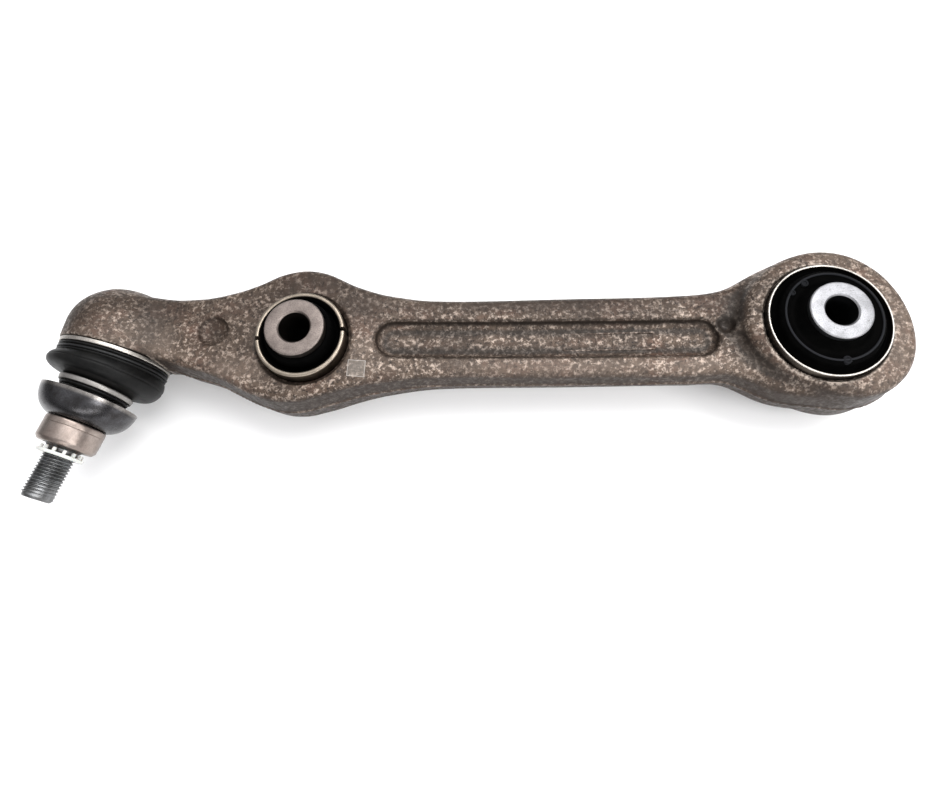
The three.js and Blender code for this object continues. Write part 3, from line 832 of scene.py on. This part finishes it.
def large_bush():
    sleeve(
        "large_sleeve", "large_bush_inner_sleeve", "large_sleeve", LARGE_FRAME, 7.05, 13.5, 31,
        "sleeve_aluminium",
    )
    # The shell is bright only on its end faces, a painted highlight, and dark on its walls as painted
    # shade.
    shell = turned("large_shell", rounded([
        (26.3, 21.1, 0.3), (26.6, 21.5, 0.3), (27.1, 21.5, 0.3), (27.4, 21.1, 0.3),
        (27.4, -21.1, 0.3), (27.1, -21.5, 0.3), (26.6, -21.5, 0.3), (26.3, -21.1, 0.3),
    ], 3), LARGE_FRAME, "bright_steel", tone=lambda r, h: 1.0 if abs(h) > 21.25 else 0.0)
    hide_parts("large_bush_outer_shell")
    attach(shell, "arm")
    # The rubber's ridge tops are lighter: dust and a painted sheen.
    rubber = turned("large_rubber", rounded(mirrored([
        (26.2, 19.8, 0.5), (25.3, 18.6, 1.2), (23.7, 20.2, 1.6), (22.7, 23.4, 1.4), (21.5, 24.3, 0.3),
        (21.2, 24.9, 0.25), (20.6, 24.9, 0.25), (20.3, 24.2, 0.5), (17.6, 23.4, 2.0), (15.2, 25.8, 2.0),
        (13.65, 28.2, 0.3),
    ])), LARGE_FRAME, "bush_rubber", 144, tone=lambda r, h: 1.0 if abs(h) > 24.5 and r > 20 else 0.0)
    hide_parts("large_bush_rubber")
    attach(rubber, "arm")
    for side in (1, -1):
        for number, (angle, radius, size) in enumerate(PIPS):
            rubber_pip(side, number, math.radians(angle), radius, size)


def rubber_pip(side, number, angle, radius, size):
    """A small dished stud on one face of the large rubber."""
    face = "top" if side > 0 else "bottom"
    place = Matrix.Translation((radius * math.cos(angle), radius * math.sin(angle), 0))
    flip = Matrix.Rotation(0 if side > 0 else math.pi, 4, "X")
    # The pips are lighter all over: dust and a painted sheen.
    pip = turned(f"large_rubber_pip_{face}_{number}", rounded([
        (0.01, 22.0, 0), (size, 22.0, 0), (size, 24.9, 0.4), (size * 0.6, 25.1, 0.2),
        (size * 0.45, 24.5, 0.2), (0.01, 24.5, 0),
    ], 3), LARGE_FRAME @ place @ flip, "bush_rubber", 24, tone=lambda r, h: 0.7)
    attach(pip, "arm")


large_bush()


def half_shell(name, node, start):
    """Half of the split outer shell, with a rolled lip at each end."""
    inner, outer, half, slit, turn, lip, steps = 19.0, 21.2, 21.5, 1.1, 5.0, 0.9, 72
    section = rounded([(inner, half, 0.9), (outer, half, 1.0), (outer, -half, 1.0), (inner, -half, 0.9)], 6)
    gap = slit / outer
    first = math.radians(start + turn) + gap
    last = first + math.pi - 2 * gap
    vertices, faces = [], []
    for i in range(steps + 1):
        angle = first + (last - first) * i / steps
        for r, h in section:
            vertices.append(DAMPER_FRAME @ Vector((r * math.cos(angle), r * math.sin(angle), h)))
    count = len(section)
    for i in range(steps):
        for j in range(count):
            k = (j + 1) % count
            faces.append((i * count + j, i * count + k, (i + 1) * count + k, (i + 1) * count + j))
    faces.append(tuple(range(count - 1, -1, -1)))
    faces.append(tuple(steps * count + j for j in range(count)))
    made = mesh_object(name, vertices, faces, "gilt_steel")
    # Painted highlight on the lips at both ends; the walls keep the dark colour as painted shade.
    point_values(made, "painted_highlight_and_wear", [1.0 if abs(h) > half - lip else 0.0 for _, h in section] * (steps + 1))
    fix = bmesh.new()
    fix.from_mesh(made.data)
    bmesh.ops.recalc_face_normals(fix, faces=fix.faces)
    fix.to_mesh(made.data)
    fix.free()
    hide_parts(node)
    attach(made, "arm")


def damper_bush():
    sleeve(
        "damper_sleeve", "damper_bush_inner_sleeve", "damper_sleeve", DAMPER_FRAME, 7.25, 13.8, 29.4,
        "sleeve_steel",
    )
    half_shell("damper_shell_upper", "damper_bush_outer_shell_upper", 0)
    half_shell("damper_shell_lower", "damper_bush_outer_shell_lower", 180)
    rubber = turned("damper_rubber", rounded(mirrored([
        (18.85, 20.2, 0.5), (18.0, 19.4, 0.8), (17.2, 16.2, 1.6), (15.9, 17.6, 1.2), (16.4, 21.0, 1.4),
        (15.5, 24.6, 1.2), (14.0, 25.6, 0.4),
    ])), DAMPER_FRAME, "bush_rubber", 128)
    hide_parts("damper_bush_rubber")
    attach(rubber, "arm")


damper_bush()


# ---------------------------------------------------------------- ball joint
def joint_piece(name, node, body, profile, slot_name, pieces=5, around=128, **extra):
    """A turned piece of the ball joint: on the socket's axis if it stays with the arm."""
    place = SOCKET_FRAME if body == "arm" else STUD_FRAME
    made = turned(name, rounded(profile, pieces), place, slot_name, around, **extra)
    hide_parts(node)
    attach(made, body)


def arc_points(radius, height, r, first, last, steps):
    """[radius, height, fillet] points of an arc in a profile, angles in degrees."""
    points = []
    for i in range(steps + 1):
        angle = math.radians(first + (last - first) * i / steps)
        points.append((radius + r * math.cos(angle), height + r * math.sin(angle), 0))
    return points


def ball_socket():
    """The closing ring, whose flange shows under the housing, and the hidden pieces' materials."""
    joint_piece("closing_ring", "socket_closing_ring", "arm", [
        (20.3, 4.2, 0.3), (20.3, 9.4, 0.2), (25.5, 9.4, 0.3), (25.5, 11.3, 0.4), (19.6, 11.3, 0.3),
        (19.6, 14.5, 0.5), (16.6, 14.5, 0.5), (12.4, 7.4, 0.3), (13.1, 6.0, 0), (13.8, 4.2, 0.2),
    ], "bright_steel", tone=lambda r, h: 0.8)
    for name in ("ball", "ball_seat", "seat_pressure_ring"):
        node = frame["nodes"][name]
        slot_name = {"ball": "polished_steel", "ball_seat": "seat_plastic"}.get(name, "bright_steel")
        node.data.materials.clear()
        node.data.materials.append(LOOKS[slot_name])


def clamp_ring():
    """Flat spring ring in the boot's groove."""
    joint_piece("boot_clamp", "boot_clamp_ring", "arm", [
        (24.5, 13.35, 0.2), (25.2, 13.35, 0.3), (25.4, 13.9, 0.4), (25.2, 14.45, 0.3), (24.5, 14.45, 0.2),
    ], "clamp_steel", 4)


# Height of the boot's moulded seam, along the stud from the ball centre.
SEAM_AT = 20.0
BEND_FROM, BEND_TO = 13.5, 26.5
STUD_TO_SOCKET = Vector((0, 0, 1)).rotation_difference(
    STUD_FRAME.to_quaternion().inverted() @ SOCKET_AXIS)


def bend_to_socket(point):
    """Turns the boot's collar onto the socket's axis and leaves its foot on the stud's."""
    t = min(max((point.z - BEND_FROM) / (BEND_TO - BEND_FROM), 0), 1)
    share = 1 - t * t * (3 - 2 * t)
    return Matrix.Identity(3).to_quaternion().slerp(STUD_TO_SOCKET, share) @ point


def boot_half(name, profile):
    """One half of the boot, bent from the socket's axis, on the arm, to the stud's between BEND_FROM and
    BEND_TO below the ball centre, and baked in place.
    """
    made = turned(name, rounded(profile), STUD_FRAME, "boot_rubber", 144, bend=bend_to_socket)
    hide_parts("boot")
    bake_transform(made)


def boot():
    """The boot in two halves that meet at its widest point."""
    ring, bulge, wall = 20.8, 5.5, 2.0
    collar = [
        (19.95, 11.75, 0.3), (25.1, 11.75, 0.5), (25.3, 12.5, 0.4), (24.25, 13.0, 0.2), (24.25, 14.7, 0.2),
        (25.2, 14.9, 0.5), (24.9, 15.8, 0.5),
    ]
    shoulder = arc_points(ring, SEAM_AT, bulge + 0.15, -47, -5, 12)
    outer_seam = [(ring + bulge - 0.1, SEAM_AT, 0)]
    inner_seam = [(ring + bulge - wall, SEAM_AT, 0)]
    inner_shoulder = arc_points(ring, SEAM_AT, bulge - wall, -4, -58, 8)
    top = collar + shoulder + outer_seam + inner_seam + inner_shoulder + [(19.95, 16.2, 0.4)]
    belly = arc_points(ring, SEAM_AT, bulge + 0.15, 5, 80, 16)
    foot = [(17.6, 26.4, 0.8), (15.8, 27.1, 0.4), (9.3, 27.1, 0.4), (9.3, 25.0, 0.6)]
    inner_belly = arc_points(ring, SEAM_AT, bulge - wall, 100, 4, 12)
    bottom = outer_seam + belly + foot + inner_belly + inner_seam
    boot_half("boot_upper", top)
    boot_half("boot_lower", bottom)


def boot_foot():
    """The boot's foot ring and the seal lip that slide round the stud."""
    joint_piece("foot_ring", "boot_foot_ring", "boot_foot", [
        (9.35, 27.5, 0.3), (16.9, 27.5, 0.5), (17.1, 28.1, 0.5), (16.75, 30.1, 0.4), (9.35, 30.1, 0.3),
    ], "grey_steel")
    joint_piece("seal_lip", "boot_seal_lip", "boot_foot", [
        (9.3, 30.4, 0.3), (15.7, 30.4, 0.5), (15.9, 31.2, 0.4), (15.0, 32.3, 0.6), (13.0, 31.6, 0.6),
        (9.3, 32.0, 0.3),
    ], "boot_rubber")


def thread_radius(height, angle, start, end, pitch, major, minor):
    """A V-shaped thread with flat crests that fades in and out at its ends."""
    phase = (height / pitch - angle / (2 * math.pi)) % 1
    tooth = np.clip(1.25 * abs(2 * phase - 1) - 0.08, 0, 1)
    fade = np.clip(min(height - start, end - height) / (0.8 * pitch), 0, 1)
    return minor + (major - minor) * (1 - (1 - tooth) * fade)


def ball_stud():
    """Cup under the ball, neck, shaft and an M14x1.5 thread with a chamfered end."""
    pitch, major, minor = 1.5, 7.0, 6.08
    thread_from, thread_to, end = 62.0, 84.0, 85.3
    cup, neck, shaft = 14.3, 7.1, 8.7
    profile = arc_points(0, 0, cup, 89.9, 61, 8)
    profile += [(neck, 13.0, 0), (neck, 15.0, 0), (7.6, 18.0, 0)]
    profile += [(shaft, 22.0, 0), (shaft, 59.2, 0), (7.05, 60.7, 0)]
    steps = int((thread_to - thread_from) / pitch * 10)
    profile += [(major, thread_from + (thread_to - thread_from) * i / steps, 0) for i in range(steps + 1)]
    profile += [(6.1, end - 0.3, 0), (5.8, end, 0)]
    profile += [(2.6, end, 0), (2.2, end - 0.9, 0), (0.01, end - 1.3, 0)]

    def radius_of(r, h, angle):
        if thread_from <= h <= thread_to:
            return thread_radius(h, angle, thread_from, thread_to + 3, pitch, major, minor)
        return r

    joint_piece("stud", "ball_stud", "stud", profile, "zinc_steel", 1, 72, radius_of=radius_of)


def deflector():
    """Polished bowl with a thin rolled rim, open towards the boot."""
    wall, bore, rim_at, steps = 1.15, 9.05, 34.6, 18
    start, control, end = np.array([13.4, 46.9]), np.array([21.2, 44.2]), np.array([22.0, 34.1])
    outside, inside = [], []
    for i in range(steps + 1):
        t = i / steps
        r, h = (1 - t) ** 2 * start + 2 * t * (1 - t) * control + t * t * end
        slope = 2 * (1 - t) * (control - start) + 2 * t * (end - control)
        slope /= np.linalg.norm(slope)
        outside.append((r, h, 0))
        inside.append((r + slope[1] * wall, h - slope[0] * wall, 0))
    profile = [(bore, 46.9, 0.2)] + outside + inside[::-1] + [(bore, 45.7, 0.2)]
    # Painted highlight along the rim: the tone lightens a narrow band there.
    joint_piece("dish", "deflector_dish", "stud", profile, "polished_steel", 4, 160,
                tone=lambda r, h: max(0.0, 1 - abs(h - rim_at) / 0.9))


def collar():
    """Turned collar with a groove line and a chamfered lower edge."""
    joint_piece("collar", "stud_collar", "stud", [
        (9.05, 47.25, 0.2), (13.2, 47.25, 0.4), (13.5, 48.0, 0.3), (13.5, 50.2, 0.1), (13.3, 50.35, 0.1),
        (13.5, 50.5, 0.1), (13.4, 57.6, 0.4), (12.1, 59.4, 0.5), (9.05, 59.6, 0.2),
    ], "collar_steel")


def retainer():
    """White plastic ring that holds the collar for transport: a flange, short teeth and a tab."""
    joint_piece("retainer", "thread_retainer", "stud", [
        (7.4, 62.7, 0.2), (10.2, 62.7, 0.3), (10.4, 63.3, 0.3), (10.0, 64.2, 0.4), (8.6, 64.3, 0.3),
        (7.4, 64.1, 0.2),
    ], "white_plastic", 3, 96)
    teeth = 13
    tooth = (8.9, 61.9, (1.2, 1.5, 2.2))
    tab = (11.2, 63.4, (2.6, 2.8, 1.0))
    blocks = [(2 * math.pi * i / teeth, *tooth) for i in range(teeth)] + [(0.0, *tab)]
    shape = bmesh.new()
    for angle, radius, height, size in blocks:
        turn = Matrix.Rotation(angle, 4, "Z")
        place = turn @ Matrix.Translation((radius, 0, height)) @ Matrix.Diagonal((*size, 1))
        block = bmesh.ops.create_cube(shape, size=1, matrix=place)
        edges = {edge for vertex in block["verts"] for edge in vertex.link_edges}
        bmesh.ops.bevel(shape, geom=list(edges), offset=0.2, segments=2, affect="EDGES")
    bmesh.ops.transform(shape, matrix=STUD_FRAME, verts=shape.verts)
    made = bmesh_object("retainer_teeth", shape, "white_plastic")
    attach(made, "stud")


ball_socket()
clamp_ring()
boot()
boot_foot()
ball_stud()
deflector()
collar()
retainer()


# ---------------------------------------------------------------- studio
def floor():
    n = Nodes("studio_floor")
    tone = n.noise(160, 2, 0.5)
    n.set(colour=n.ramp(tone, (0.3, 0.93), (0.7, 0.95)), roughness=0.9, specular=0.1)
    mesh = bpy.data.meshes.new("studio_floor")
    half, below = 4.0, 0.5 * MM
    corners = [(-half, -half, 0), (half, -half, 0), (half, half, 0), (-half, half, 0)]
    mesh.from_pydata(corners, [], [(0, 1, 2, 3)])
    made = bpy.data.objects.new("studio_floor", mesh)
    mesh.materials.append(n.material)
    made.location.z = -below
    bpy.context.scene.collection.objects.link(made)


def softbox(name, place, target, size, power, colour=(1, 1, 1)):
    data = bpy.data.lights.new(name, "AREA")
    data.shape = "RECTANGLE"
    data.size, data.size_y = size
    data.energy = power
    data.color = colour
    light = bpy.data.objects.new(name, data)
    light.location = place
    light.rotation_euler = (Vector(target) - Vector(place)).to_track_quat("-Z", "Y").to_euler()
    bpy.context.scene.collection.objects.link(light)


def studio():
    """A white room whose walls darken towards the horizon, with one large softbox and two small."""
    world = bpy.data.worlds.new("studio")
    world.use_nodes = True
    tree = world.node_tree
    place = tree.nodes.new("ShaderNodeTexCoord")
    parts = tree.nodes.new("ShaderNodeSeparateXYZ")
    ramp = tree.nodes.new("ShaderNodeValToRGB")
    stops = ((0.0, 0.55), (0.08, 0.20), (0.35, 0.35), (0.70, 1.0))
    while len(ramp.color_ramp.elements) < len(stops):
        ramp.color_ramp.elements.new(0.5)
    for element, (position, grey) in zip(ramp.color_ramp.elements, stops):
        element.position = position
        element.color = (grey, grey, grey * 1.02, 1)
    tree.links.new(place.outputs["Generated"], parts.inputs[0])
    tree.links.new(parts.outputs[2], ramp.inputs["Fac"])
    tree.links.new(ramp.outputs["Color"], tree.nodes["Background"].inputs["Color"])
    tree.nodes["Background"].inputs["Strength"].default_value = 0.95
    bpy.context.scene.world = world
    softbox("key", (0.25, 0.40, 1.05), (0.0, 0, 0.03), (1.1, 0.7), 14.0)
    softbox("fill", (0.75, -0.45, 0.75), (0.05, 0, 0.03), (0.5, 0.5), 6.0)
    softbox("rim", (0.0, -0.8, 0.4), (0, 0, 0.03), (1.0, 0.15), 3.0)
    bpy.context.scene.view_settings.view_transform = "Standard"


floor()
studio()
